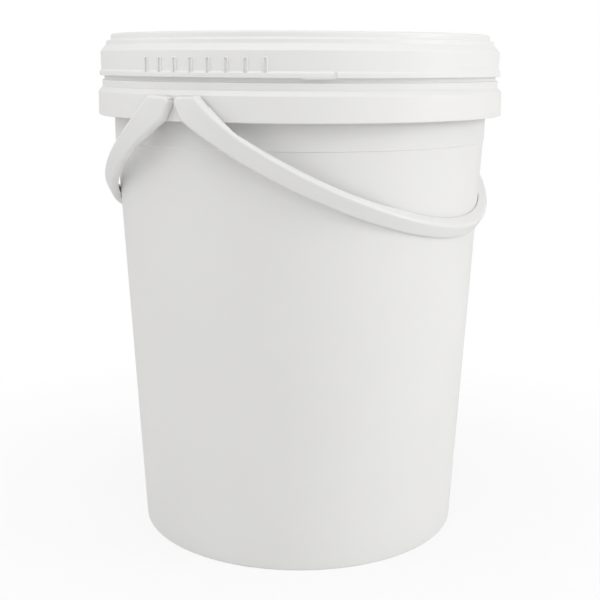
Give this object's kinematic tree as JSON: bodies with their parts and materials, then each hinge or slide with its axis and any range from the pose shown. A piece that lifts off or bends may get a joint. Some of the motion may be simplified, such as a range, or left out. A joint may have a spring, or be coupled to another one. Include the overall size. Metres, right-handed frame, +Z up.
{
  "type": "plastic bucket with lid",
  "caption": "White plastic bucket with a collar ring, a press-on lid with a tear strip, and strap handles that hang on either side.",
  "frame": {"origin": "centre of the foot ring, on the surface that the bucket stands on", "axes": "+Z up along the bucket's axis; the handle pegs are at -Y and +Y; the right handle hangs towards +X and the left handle towards -X"},
  "size_m": [0.3152, 0.329, 0.392],
  "materials": {
    "bucket_plastic": "white polyethylene, injection moulded, smooth satin",
    "lid_plastic": "white polyethylene, injection moulded, fine satin",
    "gasket_rubber": "pale foamed rubber, dull",
    "handle_plastic": "white polypropylene, injection moulded, soft gloss"
  },
  "bodies": {
    "bucket": {"bucket": "bucket_plastic"},
    "lid": {"lid": "lid_plastic", "lid_gasket": "gasket_rubber"},
    "right_handle": {"right_handle": "handle_plastic"},
    "left_handle": {"left_handle": "handle_plastic"}
  },
  "joints": [
    {"name": "lid_lift", "type": "slide", "parent": "bucket", "child": "lid", "axis": [0, 0, 1], "range_m": [0, 0.17]},
    {"name": "right_handle_swing", "type": "hinge", "parent": "bucket", "child": "right_handle", "pos_m": [0.014, 0, 0.3405], "axis": [0, -1, 0], "range_deg": [0, 123]},
    {"name": "left_handle_swing", "type": "hinge", "parent": "bucket", "child": "left_handle", "pos_m": [-0.014, 0, 0.3405], "axis": [0, 1, 0], "range_deg": [0, 123]}
  ]
}
